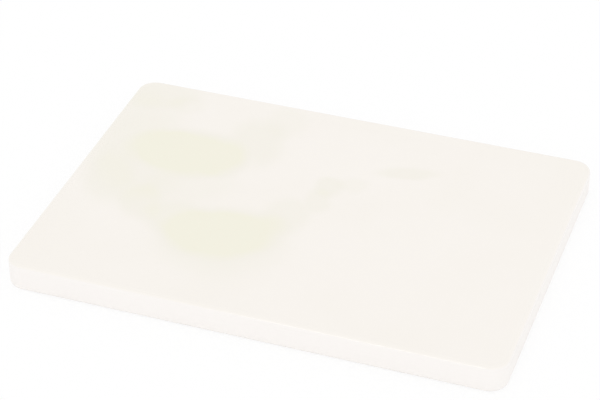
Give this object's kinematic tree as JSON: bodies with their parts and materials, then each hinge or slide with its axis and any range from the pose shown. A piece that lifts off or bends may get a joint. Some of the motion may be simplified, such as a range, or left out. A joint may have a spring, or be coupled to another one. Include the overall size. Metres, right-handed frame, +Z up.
{
  "type": "cutting board",
  "caption": "Plain rigid polyethylene cutting board: a flat cream slab with rounded corners and rounded rims, the same on both faces.",
  "frame": {"origin": "centre of the underside, on the surface that the board lies on", "axes": "+X along the length, +Y along the width, away from the pictured front wall, +Z up out of the cutting face"},
  "size_m": [0.35, 0.25, 0.02],
  "materials": {
    "polyethylene": "satin"
  },
  "bodies": {
    "root": {"board": "polyethylene"}
  },
  "joints": []
}
